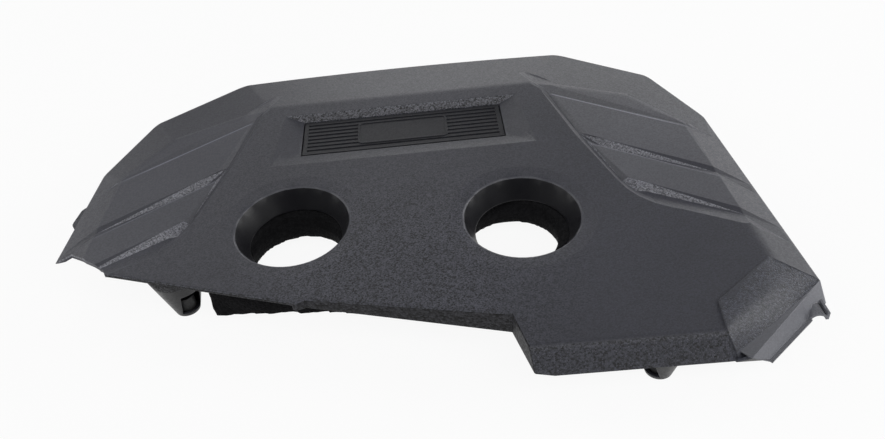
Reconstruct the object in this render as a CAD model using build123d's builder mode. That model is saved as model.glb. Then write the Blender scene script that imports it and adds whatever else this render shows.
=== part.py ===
from build123d import *
import math
import os

os.makedirs("parts", exist_ok=True)

# Sizes are millimetres. X runs across the cover, Y from the cut-away front edge to the bowed back
# edge, Z up along the pull of the mould. While the pieces are drawn, x = 0 is the mid plane of the
# insert and the wings, y = 0 the line between the two openings and z = 0 the plane under the cups.

# Moulding
wall = 2.8
panel_height = 52.0
panel_tilt = 4.76
sky = 120.0
far = 450.0
near = 0.02
upright = 0.9

# Plan of the cover, mid plane at x = 0
back_bow_y = 258.0
back_corner = (162.0, 249.0)
shoulder = (237.0, 183.0)
side_corner = (264.5, 100.0)
right_tip = (283.2, -94.9)
left_tip = (-277.0, -3.0)
wing_arch = (-263.0, 0.6)
wing_dip = (-246.0, -13.6)
wing_cut = (-231.5, -22.6)
left_step = (-227.5, -30.0)
left_edge_end = (-81.0, -78.0)
jog_end = (-74.5, -75.5)
notch_inner = (67.5, -106.5)
notch_outer = (78.5, -150.0)
front_right = (205.6, -150.0)
pad_toe_left = (206.4, -151.4)
pad_toe_right = (215.7, -151.8)
plan_corner_radius = 24.0

# Folds where the panel turns down, given in plan, and how far each facet falls from the panel
fold_back_y = 168.0
fold_back_x = 122.0
fold_shoulder = (205.0, 131.0)
fold_side = (241.0, 82.0)
fold_front = (254.0, -71.0)
fall_back = 15.8
fall_shoulder = 14.5
fall_corner = 16.0
fall_side = 20.0
fold_radius = 28.0

# Front skirt
skirt_top_left = (77.5, -136.5)
skirt_top_right = (203.0, -139.5)
skirt_fall = 58.0
skirt_radius = 7.0
hem_front = 22.3
hem_back = 36.0
hem_jog = 38.5
hem_notch = 25.0
hem_tip = 41.5
hem_step = 0.6
hem_run = 16.0
hem_tip_run = 60.0
hem_tip_fall = 6.0
hem_tip_flat = 4.0
hem_notch_back = -40.0
open_reach = 30.0
open_overlap = 12.0
open_tip = 7.0

# Raised pad on the cut right front corner: its left end runs down over the skirt and its right end
# falls straight to the tip. Heights are those of its front edge.
pad_left = (204.8, -118.2)
pad_right = (251.3, -78.8)
pad_rise = 1.3
pad_brow = 0.62
pad_toe_height = 27.0
pad_tip_height = 34.0
pad_overrun = 1.4
pad_tip_overrun = 1.6
pad_hem = 2.6
pad_reach = 6.0
pad_lean = 0.44
pad_turn = 0.135

# Flared apron under the front edge of the pad, its rim, and the lip curled out at its right end
apron_left = (231.2, -146.9, 16.0)
apron_right = (285.2, -105.6, 22.0)
apron_root = 14.0
apron_run_on = 8.0
rim_reach = 1.8
rim_thickness = 1.4
rim_share = 0.7
curl_middle = (274.3, 18.6)
curl_front_y = -118.7
curl_radius = 7.4
curl_wall = 1.9
curl_foot = 19.9
curl_leg = 6.0
curl_root = 4.5

# Wing relief, right wing. A rail borders each wing on the panel side. Louvre lines cross the wing at
# one slant and are named by their y at x = louvre_x. Each lies behind the next by the step given here.
rail_tail = (114.0, 203.0)
rail_back = (128.0, 156.0)
rail_middle = (145.5, 87.0)
rail_bend = (167.5, 20.5)
rail_turn = (176.0, -8.0)
rail_end = (203.0, -20.5)
rail_width = 5.5
rail_drop_back = 1.3
rail_drop_middle = 2.5
rail_drop_bend = 3.4
rail_drop_turn = 4.2
louvre_x = 200.0
louvre_slant = -0.65
ramp_slant = -0.53
crest_line = 105.0
valley_step = 2.6
crest_step = 51.6
groove_wall_step = 5.8
groove_floor_step = 5.6
ridge_step = 35.4
ramp_step = 8.4
brow_step = 6.0
ramp_top_step = 12.0
wing_margin = 0.6
lip = -0.15
brow_lip = -0.6
crest_lip = -1.0
crest_depth = 0.4
valley_depth = 1.3
shelf_depth = 0.9
groove_depth = 5.4
ridge_depth = 1.1
fold_depth = 0.4
groove_end_depth = 1.5
shelf_start = 13.0
shelf_end = 27.0
groove_start = 22.0
ridge_start = 3.0
valley_start = 7.7
crest_start = 8.8

# Openings
opening_left = (-89.5, 5.0)
opening_right = (88.5, -10.0)
opening_radius = 45.0
collar_radius = 36.5
collar_depth = 18.5
dish_radius = 57.0
dish_depth = 0.9
bore_over = 1.0
bore_run_on = 4.0
rim_bevel = 1.0

# Recess and insert
recess_back_y = 151.5
recess_front_y = 79.0
recess_back_x = 105.5
recess_front_x = 113.5
recess_depth = 6.0
recess_over = 1.0
insert_length = 177.0
insert_width = 47.0
insert_y = 122.5
insert_thickness = 3.2
insert_gap = 1.3
insert_ribs = 8
rib_depth = 0.9
rib_end = 3.5
rib_share = 0.45
insert_border = 2.5
blank_length = 80.0
blank_width = 31.0
blank_radius = 5.0
blank_rise = 0.7
blank_frame = 1.6

# Cups under the cover and the rubber sockets in them
cup_front_left = (-179.5, -22.0)
cup_front_right = (164.0, -130.0)
cup_rear_x = 100.0
cup_rear_y = 207.0
cup_foot_radius = 9.5
cup_mouth_radius = 22.0
cup_taper_height = 42.0
cup_gate_height = 22.0
gate_turn_left = 1.1
gate_turn_right = 0.55
cup_wall = 2.4
cup_gate = 16.0
cup_floor = 2.4
cup_lip = 0.8
stud_radius = 4.2
grommet_radius = 7.3
grommet_neck = 5.8
grommet_height = 12.0
grommet_crown = 2.5
grommet_fit = 0.2

# Edge roundings
hem_radius = 1.6
recess_radius = 1.5

# Small flange on the left side wall
tab_y = 56.0
tab_length = 30.0
tab_reach = 7.5
tab_height = 39.5
tab_thickness = 2.4

# Foam
foam_clearance = 0.2
foam_foot = 11.0
foam_opening_radius = 38.0
foam_margin = 6.0
foam_cup_gap = 5.4
foam_shift_left = (0.0, -8.0)
foam_shift_right = (-8.0, 0.0)
foam_front_left = -49.0
foam_front_middle = -56.0
foam_front_right = -114.0
foam_set_back = 22.0

tilt = math.radians(panel_tilt)


def panel_z(y):
    return panel_height + math.tan(tilt) * y


def on_panel(plan):
    return Vector(plan[0], plan[1], panel_z(plan[1]))


panel_normal = Vector(0, -math.sin(tilt), math.cos(tilt))


def facet(start, end, fall):
    """Point and outward normal of the facet that falls away outside the fold from start to end."""
    along = (on_panel(end) - on_panel(start)).normalized()
    outward = along.cross(panel_normal).normalized()
    swing = math.radians(fall)
    return on_panel(start), panel_normal * math.cos(swing) + outward * math.sin(swing)


def mirrored(plan):
    return (-plan[0], plan[1])


right_fold = [fold_front, fold_side, fold_shoulder, (fold_back_x, fold_back_y)]
right_falls = [fall_side, fall_corner, fall_shoulder]
upper_facets = [(on_panel((0, 0)), panel_normal)]
for start, end, fall in zip(right_fold, right_fold[1:], right_falls):
    upper_facets.append(facet(start, end, fall))
    upper_facets.append(facet(mirrored(end), mirrored(start), fall))
upper_facets.append(facet((fold_back_x, fold_back_y), (-fold_back_x, fold_back_y), fall_back))
skirt_facet = facet(skirt_top_left, skirt_top_right, skirt_fall)


def surface_z(x, y):
    """Height of the plain cover, before any relief, above a plan point."""
    heights = []
    for point, normal in upper_facets:
        rise = normal.X * (x - point.X) + normal.Y * (y - point.Y)
        heights.append(point.Z - rise / normal.Z)
    return min(heights)


def cover_form(inset, facets, foot, open_front):
    """The cover as a solid block, its walls and facets moved in by inset, standing on z = foot.
    With open_front the block runs out past the left front edge, which has no skirt."""
    with BuildPart() as form:
        with BuildSketch(Plane.XY.offset(foot)) as plan:
            with BuildLine():
                Polyline(
                    mirrored(back_corner),
                    mirrored(shoulder),
                    mirrored(side_corner),
                    left_tip,
                    wing_arch,
                    wing_dip,
                    wing_cut,
                    left_step,
                    left_edge_end,
                    jog_end,
                    notch_inner,
                    notch_outer,
                    front_right,
                    pad_toe_left,
                    pad_toe_right,
                    right_tip,
                    side_corner,
                    shoulder,
                    back_corner,
                )
                ThreePointArc(back_corner, (0, back_bow_y), mirrored(back_corner))
            make_face()
            rounded = [back_corner, shoulder, side_corner]
            rounded = rounded + [mirrored(corner) for corner in rounded]
            soft = [v for v in plan.vertices() if min(math.dist((v.X, v.Y), c) for c in rounded) < near]
            fillet(soft, radius=plan_corner_radius)
            if inset > 0:
                offset(amount=-inset)
            if open_front:
                with BuildLine():
                    Polyline(
                        (left_tip[0] + open_tip, left_tip[1] + open_overlap),
                        (left_tip[0] - open_reach, left_tip[1] + open_overlap),
                        (left_tip[0] - open_reach, left_edge_end[1] - open_reach),
                        (left_edge_end[0] - wall, left_edge_end[1] - open_reach),
                        (left_edge_end[0] - wall, left_edge_end[1] + open_overlap),
                        (left_step[0], left_step[1] + open_overlap),
                        close=True,
                    )
                make_face()
        extrude(amount=sky - foot)
        for point, normal in facets:
            split(bisect_by=Plane(origin=point - normal * inset, z_dir=normal), keep=Keep.BOTTOM)
    return form.part


up = Vector(0, 0, 1)


def pad_end(start, end, heights, drop):
    """Upright end profile of the pad from start past end, its top through the heights given at shares of
    the run."""
    run = Vector(end[0] - start[0], end[1] - start[1], 0)
    points = [(run.length * share, height - drop) for share, height in heights]
    with BuildSketch(Plane(origin=(start[0], start[1], 0), x_dir=run, z_dir=run.cross(up))) as profile:
        with BuildLine():
            Spline(points)
            Polyline(points[-1], (points[-1][0], -sky), (0, -sky), points[0])
        make_face()
    return profile.sketch.face()


pad_side = Plane(origin=on_panel(pad_left), z_dir=(1, -pad_turn, pad_lean))


def pad_form(drop):
    """Solid under the pad, its top lowered by drop. It starts left of the leaning side that cuts it."""
    brow_y = pad_left[1] + (pad_toe_left[1] - pad_left[1]) * pad_brow
    brow_height = panel_z(brow_y) + pad_rise / 2
    left_start = panel_z(pad_left[1]) + pad_rise
    left_heights = [
        (0, left_start),
        (pad_brow / 2, (left_start + brow_height) / 2 + pad_rise / 4),
        (pad_brow, brow_height),
        (1, pad_toe_height),
        (pad_overrun, pad_toe_height - (brow_height - pad_toe_height) * (pad_overrun - 1) / (1 - pad_brow)),
    ]
    right_start = panel_z(pad_right[1]) + pad_rise / 2
    right_fall = right_start - pad_tip_height
    right_heights = [(share, right_start - right_fall * share) for share in (0, 1, pad_tip_overrun)]
    with BuildPart() as form:
        reach_left = (pad_left[0] - pad_reach, pad_left[1])
        reach_toe = (pad_toe_left[0] - pad_reach, pad_toe_left[1])
        left = pad_end(reach_left, reach_toe, left_heights, drop)
        right = pad_end(pad_right, right_tip, right_heights, drop)
        loft([left, right])
        split(bisect_by=pad_side, keep=Keep.TOP)
    return form.part


def pad_block():
    """Everything over the plan of the pad."""
    left = tuple(a + (b - a) * pad_overrun for a, b in zip(pad_left, pad_toe_left))
    right = tuple(a + (b - a) * pad_tip_overrun for a, b in zip(pad_right, right_tip))
    with BuildPart() as block:
        with BuildSketch():
            with BuildLine():
                reach_left = (pad_left[0] - pad_reach, pad_left[1])
                reach_toe = (left[0] - pad_reach, left[1])
                Polyline(reach_left, reach_toe, right, pad_right, pad_left, close=True)
            make_face()
        extrude(amount=sky)
        split(bisect_by=pad_side, keep=Keep.TOP)
    return block.part


def apron_form(inset, extra):
    """Flared apron under the front edge of the pad as a solid block, moved in by inset and run on down
    by extra."""
    tops = [Vector(*pad_toe_right, pad_toe_height), Vector(*right_tip, pad_tip_height)]
    feet = [Vector(*apron_left), Vector(*apron_right)]
    along = (tops[1] - tops[0]).normalized()
    outward = along.cross(up).normalized()
    ends = []
    for top, foot, step in zip(tops, feet, (inset, -inset)):
        low = foot + (foot - top).normalized() * extra - outward * inset + along * step
        high = top - outward * inset - up * inset + along * step
        ends.append(Face(Wire.make_polygon([high, low, low - outward * 2 * apron_root, high - outward * apron_root])))
    with BuildPart() as apron:
        loft(ends, ruled=True)
    return apron.part


def apron_trim():
    """Rim along the foot of the apron and the lip that curls out of its right end."""
    left = Vector(*apron_left)
    right = Vector(*apron_right)
    outward = (right - left).cross(up).normalized()
    ends = []
    for point in (left, left + (right - left) * rim_share):
        inner = point - outward * rim_thickness
        outer = point + outward * rim_reach
        low = up * rim_thickness
        ends.append(Face(Wire.make_polygon([inner + low, outer + low, outer, inner])))
    front = Plane(origin=(curl_middle[0], curl_front_y, curl_middle[1]), x_dir=(1, 0, 0), z_dir=(0, -1, 0))
    with BuildPart() as curl:
        with BuildSketch(front):
            Circle(curl_radius)
            Circle(curl_radius - curl_wall, mode=Mode.SUBTRACT)
            with Locations((0, curl_foot - curl_middle[1] - curl_radius)):
                Rectangle(2 * curl_radius, 2 * curl_radius, mode=Mode.SUBTRACT)
            with Locations((curl_radius, curl_foot - curl_middle[1])):
                Rectangle(curl_wall, curl_leg, align=(Align.MAX, Align.MIN))
        extrude(amount=-3 * curl_radius)
        split(bisect_by=Plane(origin=left - outward * curl_root, z_dir=outward), keep=Keep.TOP)
    toe_foot = Vector(*pad_toe_left, pad_toe_height - pad_hem)
    toe_end = left + ((right - left).normalized() + up / 2) * rim_thickness
    toe = Face(Wire.make_polygon([toe_foot, Vector(*pad_toe_right, pad_toe_height), toe_end]))
    with BuildPart() as trim:
        loft(ends, ruled=True)
        add(curl.part)
        extrude(toe, amount=wall, dir=-outward)
    return trim.part


valley_line = crest_line + valley_step
brow_line = valley_line + brow_step
groove_2_top = crest_line - crest_step
groove_2_low = groove_2_top - groove_wall_step
ridge_2 = groove_2_low - groove_floor_step
groove_3_top = ridge_2 - ridge_step
groove_3_low = groove_3_top - groove_wall_step
ramp_foot = groove_3_low - ramp_step
ramp_top = ramp_foot - ramp_top_step


def louvre(line, start, end, past, slant=louvre_slant):
    """Plan point on a louvre line, past the line from start to end by the given x."""
    lean = (end[0] - start[0]) / (end[1] - start[1])
    x = (start[0] + lean * (line - slant * louvre_x - start[1])) / (1 - lean * slant) + past
    return (x, line + slant * (x - louvre_x))


def from_rail(line, past):
    return louvre(line, rail_middle, rail_bend, past)


def at_fold(line, slant=louvre_slant):
    return louvre(line, fold_side, fold_front, 0, slant)


def at_side(line, slant=louvre_slant):
    return louvre(line, side_corner, right_tip, -wing_margin, slant)


def rail_curve(share):
    """Plan point on the bend of the rail."""
    rest = 1 - share
    weights = (rest * rest, 2 * rest * share, share * share)
    corners = (rail_bend, rail_turn, rail_end)
    return tuple(sum(w * c[i] for w, c in zip(weights, corners)) for i in (0, 1))


def right_of(plan, across, back=0.0):
    return (plan[0] + across, plan[1] + back)


fold_corner = (fold_back_x, fold_back_y)
brow_start = tuple((2 * c + s) / 3 for c, s in zip(fold_corner, fold_shoulder))
rail_foot = right_of(rail_curve(0.5), 0, ramp_top_step)
ramp_start = right_of(rail_curve(0.75), 0, ramp_top_step)

# Points of the relief: place in plan and depth below the plain cover
wing_points = {
    "s0": (rail_tail, lip),
    "s1": (right_of(rail_tail, rail_width), lip),
    "r0": (fold_corner, crest_lip),
    "r1": (rail_back, lip),
    "r2": (rail_middle, lip),
    "r3": (rail_bend, lip),
    "r4": (rail_curve(0.25), lip),
    "r5": (rail_curve(0.5), lip),
    "r6": (rail_curve(0.75), lip),
    "r7": (rail_end, lip),
    "r8": (at_fold(ramp_top, ramp_slant), lip),
    "r9": (at_side(ramp_top, ramp_slant), lip),
    "v0": (right_of(fold_corner, rail_width, -rail_width / 2), rail_drop_back),
    "v1": (right_of(rail_back, rail_width), rail_drop_back),
    "v2": (right_of(rail_middle, rail_width), rail_drop_middle),
    "v3": (right_of(rail_bend, rail_width), rail_drop_bend),
    "v4": (rail_foot, rail_drop_turn),
    "b1": (brow_start, brow_lip),
    "b2": (fold_shoulder, brow_lip),
    "b3": (fold_side, brow_lip),
    "b4": (at_side(brow_line), lip),
    "k0": (louvre(valley_line, rail_back, rail_middle, valley_start), valley_depth),
    "k1": (at_fold(valley_line), fold_depth),
    "k2": (at_side(valley_line), lip),
    "t0": (louvre(crest_line, rail_back, rail_middle, crest_start), crest_depth),
    "t1": (at_fold(crest_line), fold_depth / 2),
    "a1": (from_rail(groove_2_top, shelf_start), shelf_depth),
    "g1": (from_rail(groove_2_top, shelf_end), shelf_depth),
    "g2": (at_fold(groove_2_top), fold_depth),
    "g3": (at_side(groove_2_top), lip),
    "h1": (from_rail(groove_2_low, groove_start), groove_depth),
    "h2": (at_fold(groove_2_low), groove_end_depth),
    "m0": (from_rail(ridge_2, rail_width + ridge_start), ridge_depth),
    "m1": (at_fold(ridge_2), fold_depth),
    "m2": (at_side(ridge_2), lip),
    "c1": (from_rail(groove_3_top, shelf_start), shelf_depth),
    "n1": (from_rail(groove_3_top, shelf_end), shelf_depth),
    "n2": (at_fold(groove_3_top), fold_depth),
    "n3": (at_side(groove_3_top), lip),
    "o1": (from_rail(groove_3_low, groove_start), groove_depth),
    "o2": (at_fold(groove_3_low), groove_end_depth),
    "p1": (ramp_start, rail_drop_turn),
    "p2": (at_fold(ramp_foot, ramp_slant), groove_end_depth),
}
wing_faces = [
    ("s0", "r0", "v0", "s1"),
    ("s1", "v0", "b1"),
    ("r0", "r1", "v1", "v0"),
    ("r1", "r2", "v2", "v1"),
    ("r2", "r3", "v3", "v2"),
    ("r3", "r4", "v4", "v3"),
    ("r4", "r5", "v4"),
    ("r5", "r6", "p1", "v4"),
    ("r6", "r7", "p1"),
    ("r7", "r8", "p2", "p1"),
    ("r8", "r9", "p2"),
    ("v0", "v1", "k0", "b1"),
    ("b1", "k0", "k1", "b2"),
    ("b2", "k1", "b3"),
    ("b3", "k1", "k2", "b4"),
    ("k0", "t0", "t1", "k1"),
    ("k1", "t1", "k2"),
    ("v1", "v2", "t0", "k0"),
    ("v2", "a1", "t0"),
    ("t0", "a1", "g1", "g2", "t1"),
    ("t1", "g2", "g3", "k2"),
    ("v2", "h1", "g1", "a1"),
    ("g1", "h1", "h2", "g2"),
    ("g2", "h2", "g3"),
    ("v2", "m0", "h1"),
    ("h1", "m0", "m1", "h2"),
    ("h2", "m1", "m2", "g3"),
    ("v2", "v3", "m0"),
    ("v3", "c1", "m0"),
    ("m0", "c1", "n1", "n2", "m1"),
    ("m1", "n2", "n3", "m2"),
    ("v3", "v4", "c1"),
    ("v4", "o1", "n1", "c1"),
    ("n1", "o1", "o2", "n2"),
    ("n2", "o2", "n3"),
    ("v4", "p1", "o1"),
    ("o1", "p1", "p2", "o2"),
    ("o2", "p2", "r9", "n3"),
]
wing_rim = ["s0", "r0", "r1", "r2", "r3", "r4", "r5", "r6", "r7", "r8", "r9"]
wing_rim = wing_rim + ["n3", "m2", "g3", "k2", "b4", "b3", "b2", "b1", "s1"]


def wing_cutter(side, drop):
    """Closed solid above the wing relief, side 1 right or -1 left, sunk by drop below the cover."""
    low = {}
    high = {}
    for name, ((x, y), depth) in wing_points.items():
        low[name] = Vector(side * x, y, surface_z(x, y) - depth - drop)
        high[name] = Vector(side * x, y, sky)
    faces = []
    for loop in wing_faces:
        for second, third in zip(loop[1:], loop[2:]):
            faces.append(Face(Wire.make_polygon([low[loop[0]], low[second], low[third]])))
    for here, there in zip(wing_rim, wing_rim[1:] + wing_rim[:1]):
        faces.append(Face(Wire.make_polygon([low[here], low[there], high[there], high[here]])))
    faces.append(Face(Wire.make_polygon([high[name] for name in wing_rim])))
    return Solid(Shell(faces))


def panel_plane(depth):
    return Plane(origin=on_panel((0, 0)) - panel_normal * depth, x_dir=(1, 0, 0), z_dir=panel_normal)


def recess_block(grow):
    """Sloped recess with its insert slot, every side moved out by grow. The slopes run on above the panel."""
    floor_x = insert_length / 2 + insert_gap
    floor_y = insert_width / 2 + insert_gap
    run_on = recess_over / recess_depth
    back_x = recess_back_x + (recess_back_x - floor_x) * run_on + grow
    front_x = recess_front_x + (recess_front_x - floor_x) * run_on + grow
    back_y = recess_back_y + (recess_back_y - insert_y - floor_y) * run_on + grow
    front_y = recess_front_y + (recess_front_y - insert_y + floor_y) * run_on - grow
    with BuildPart() as block:
        with BuildSketch(panel_plane(-recess_over)):
            with BuildLine():
                Polyline((-back_x, back_y), (-front_x, front_y), (front_x, front_y), (back_x, back_y), close=True)
            make_face()
        with BuildSketch(panel_plane(recess_depth + grow)):
            with Locations((0, insert_y)):
                Rectangle(2 * (floor_x + grow), 2 * (floor_y + grow))
        loft(ruled=True)
        with BuildSketch(panel_plane(recess_depth + insert_thickness + grow)):
            with Locations((0, insert_y)):
                Rectangle(2 * (floor_x + grow), 2 * (floor_y + grow))
        extrude(amount=insert_thickness + recess_over)
    return block.part


def opening_bore(centre):
    """Shallow dish and tapered bore of one opening, run on past the lower end of its collar."""
    dish_top = dish_radius + (dish_radius - opening_radius) * bore_over / dish_depth
    with BuildPart() as bore:
        seat = Plane(origin=on_panel(centre), x_dir=(1, 0, 0), z_dir=-panel_plane(0).y_dir)
        with BuildSketch(seat) as profile:
            with BuildLine():
                Polyline(
                    (0, bore_over),
                    (dish_top, bore_over),
                    (opening_radius, -dish_depth),
                    (collar_radius, -collar_depth),
                    (collar_radius, -collar_depth - bore_run_on),
                    (0, -collar_depth - bore_run_on),
                    close=True,
                )
            make_face()
            brim = (opening_radius, -dish_depth)
            chamfer([v for v in profile.vertices() if math.dist((v.X, v.Y), brim) < dish_depth], length=rim_bevel)
        revolve(axis=Axis(on_panel(centre), panel_normal))
    return bore.part


def collar_form(centre, grow):
    """Outside of one collar, wider by grow, from inside the panel down to its lower rim."""
    with BuildPart() as collar:
        seat = Plane(origin=on_panel(centre), x_dir=(1, 0, 0), z_dir=panel_normal)
        with BuildSketch(seat.offset(-wall / 2)):
            Circle(opening_radius + wall + grow)
        with BuildSketch(seat.offset(-collar_depth - grow)):
            Circle(collar_radius + wall + grow)
        loft()
    return collar.part


def hem_cutter():
    """Everything below the lower edge of the skirts."""
    rise = math.degrees(math.atan((hem_back - hem_front) / (back_bow_y - notch_outer[1])))
    low = Plane(origin=(0, notch_outer[1], hem_front), x_dir=(1, 0, 0), z_dir=(0, 0, 1)).rotated((rise, 0, 0))
    with BuildPart() as hem:
        with BuildSketch(low):
            Rectangle(2 * far, 2 * far)
        extrude(amount=-sky)
        with BuildSketch(Plane.XZ.offset(-hem_notch_back)):
            with BuildLine():
                Polyline(
                    (left_edge_end[0] - wall, 0),
                    (left_edge_end[0] - wall, hem_jog),
                    (notch_inner[0], hem_notch),
                    (notch_outer[0], hem_notch - hem_step),
                    (notch_outer[0] + hem_run, hem_front - hem_step),
                    (notch_outer[0] + hem_run, 0),
                    close=True,
                )
            make_face()
        extrude(amount=far)
        with BuildSketch(Plane.YZ.offset(left_tip[0] - open_reach)):
            with BuildLine():
                Polyline(
                    (left_tip[1] - open_reach, 0),
                    (left_tip[1] - open_reach, hem_tip),
                    (left_tip[1] + hem_tip_flat, hem_tip),
                    (left_tip[1] + hem_tip_run, hem_back - hem_tip_fall),
                    (left_tip[1] + hem_tip_run, 0),
                    close=True,
                )
            make_face()
        extrude(amount=2 * open_reach)
        with BuildSketch():
            with Locations((front_right[0] - pad_hem, pad_toe_left[1])):
                Rectangle(2 * apron_root, 2 * pad_hem, align=(Align.MIN, Align.CENTER))
        extrude(amount=pad_toe_height - pad_hem)
    return hem.part


def cup_form(centre, gate):
    """Tapered cup with a side gate, standing on z = 0 and run up past the cover."""
    foot_inner = cup_foot_radius + (cup_mouth_radius - cup_foot_radius) * cup_floor / cup_taper_height
    with BuildPart() as cup:
        with BuildSketch(Plane(origin=(centre[0], centre[1], 0), x_dir=(1, 0, 0), z_dir=(0, -1, 0))):
            with BuildLine():
                Polyline(
                    (grommet_neck + grommet_fit, 0),
                    (cup_foot_radius, 0),
                    (cup_mouth_radius, cup_taper_height),
                    (cup_mouth_radius, sky),
                    (cup_mouth_radius - cup_wall, sky),
                    (cup_mouth_radius - cup_wall, cup_taper_height),
                    (foot_inner - cup_wall, cup_floor),
                    (grommet_neck + grommet_fit, cup_floor),
                    close=True,
                )
            make_face()
        revolve(axis=Axis((centre[0], centre[1], 0), (0, 0, 1)))
        side = Plane(origin=(centre[0], centre[1], cup_floor + cup_lip), x_dir=gate, z_dir=(0, 0, 1))
        with BuildSketch(side):
            with Locations((cup_mouth_radius, 0)):
                Rectangle(2 * cup_mouth_radius, cup_gate)
        extrude(amount=cup_gate_height, mode=Mode.SUBTRACT)
    return cup.part


cups = [
    ("front_left", cup_front_left, (1, -gate_turn_left, 0)),
    ("front_right", cup_front_right, (-1, -gate_turn_right, 0)),
    ("rear_left", (-cup_rear_x, cup_rear_y), (1, 0, 0)),
    ("rear_right", (cup_rear_x, cup_rear_y), (-1, 0, 0)),
]

outer_cover = cover_form(0, upper_facets + [skirt_facet], 0, False)
inner_cover = cover_form(wall, upper_facets + [skirt_facet], -sky, True)
core_cover = cover_form(wall / 2, upper_facets + [skirt_facet], -sky, False)


def facets_met(point, facets):
    """How many of the facets pass through a point."""
    return len([1 for origin, normal in facets if abs((point - origin).dot(normal)) < near])


def on_recess_brim(edge):
    """Whether an edge is one of the four where the panel breaks into the recess."""
    in_panel = facets_met(edge @ 0, upper_facets[:1]) and facets_met(edge @ 1, upper_facets[:1])
    middle = edge @ 0.5
    beside = abs(middle.X) < recess_front_x + recess_depth
    between = recess_front_y - recess_depth < middle.Y < recess_back_y + recess_depth
    return in_panel and beside and between


with BuildPart() as pad_space:
    add(pad_block())
    add(pad_form(wall), mode=Mode.SUBTRACT)

with BuildPart() as pad:
    add(pad_form(0))
    add(cover_form(0, [], 0, False), mode=Mode.INTERSECT)

with BuildPart() as inner_space:
    add(inner_cover)
    add(wing_cutter(1, wall), mode=Mode.SUBTRACT)
    add(wing_cutter(-1, wall), mode=Mode.SUBTRACT)
    add(recess_block(wall), mode=Mode.SUBTRACT)
    add(pad_space.part, mode=Mode.SUBTRACT)
    add(apron_form(wall, apron_run_on))

with BuildPart() as cup_set:
    for name, centre, gate in cups:
        add(cup_form(centre, gate))
    add(core_cover, mode=Mode.INTERSECT)
    add(wing_cutter(-1, wall / 2), mode=Mode.SUBTRACT)

side_run = (side_corner[1] - left_tip[1], -side_corner[0] - left_tip[0])
tab_x = left_tip[0] + side_run[1] * (tab_y - left_tip[1]) / side_run[0]
tab_turn = math.degrees(math.atan2(side_run[0], side_run[1]))

with BuildPart() as cover_shell:
    add(outer_cover)
    folds = [e for e in cover_shell.edges() if facets_met(e @ 0.5, upper_facets) > 1]
    fillet(folds, radius=fold_radius)
    skirt_edges = [e for e in cover_shell.edges() if facets_met(e @ 0.5, [skirt_facet])]
    fillet([e for e in skirt_edges if facets_met(e @ 0.5, upper_facets)], radius=skirt_radius)
    walls = [f for f in cover_shell.faces() if abs(f.normal_at(f.center()).Z) < near]
    rims = [e for e in ShapeList(walls).edges() if (e @ 0.5).Z > near and abs((e % 0.5).Z) < upright]
    fillet(rims, radius=hem_radius)
    add(pad_block(), mode=Mode.SUBTRACT)
    add(pad.part)
    add(hem_cutter(), mode=Mode.SUBTRACT)
    add(apron_form(0, 0))
    add(apron_trim())
    add(wing_cutter(1, 0), mode=Mode.SUBTRACT)
    add(wing_cutter(-1, 0), mode=Mode.SUBTRACT)
    add(recess_block(0), mode=Mode.SUBTRACT)
    add(inner_space.part, mode=Mode.SUBTRACT)
    for centre in (opening_left, opening_right):
        add(collar_form(centre, 0))
    for centre in (opening_left, opening_right):
        add(opening_bore(centre), mode=Mode.SUBTRACT)
    fillet([e for e in cover_shell.edges() if on_recess_brim(e)], radius=recess_radius)
    add(cup_set.part)
    with BuildSketch(Plane.XY.offset(tab_height)):
        with Locations((tab_x, tab_y)):
            SlotOverall(tab_length, 2 * tab_reach, rotation=tab_turn)
    extrude(amount=tab_thickness)

with BuildPart() as badge_insert:
    with BuildSketch(panel_plane(recess_depth + insert_thickness)):
        with Locations((0, insert_y)):
            Rectangle(insert_length, insert_width)
    extrude(amount=insert_thickness)
    rib_pitch = (insert_width - 2 * insert_border) / insert_ribs
    with BuildSketch(panel_plane(recess_depth)):
        with Locations((0, insert_y)):
            with GridLocations(0, rib_pitch, 1, insert_ribs):
                Rectangle(insert_length - 2 * rib_end, rib_pitch * rib_share)
    extrude(amount=-rib_depth, mode=Mode.SUBTRACT)
    with BuildSketch(panel_plane(recess_depth + rib_depth)):
        with Locations((0, insert_y)):
            RectangleRounded(blank_length, blank_width, blank_radius)
    extrude(amount=rib_depth + blank_rise)
    with BuildSketch(panel_plane(recess_depth - blank_rise)):
        with Locations((0, insert_y)):
            RectangleRounded(blank_length - 2 * blank_frame, blank_width - 2 * blank_frame, blank_radius - blank_frame)
    extrude(amount=-blank_rise, mode=Mode.SUBTRACT)


def beside_rail(name, side):
    """Plan point beside a point of the wing's inner edge, on the panel side of it."""
    x, y = wing_points[name][0]
    return (side * (x - foam_margin), y)


left_of_foam = cup_front_left[0] + cup_mouth_radius + foam_cup_gap
front_cup_side = cup_front_right[0] - cup_mouth_radius - foam_margin
front_cup_back = cup_front_right[1] + cup_mouth_radius + foam_margin

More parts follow.
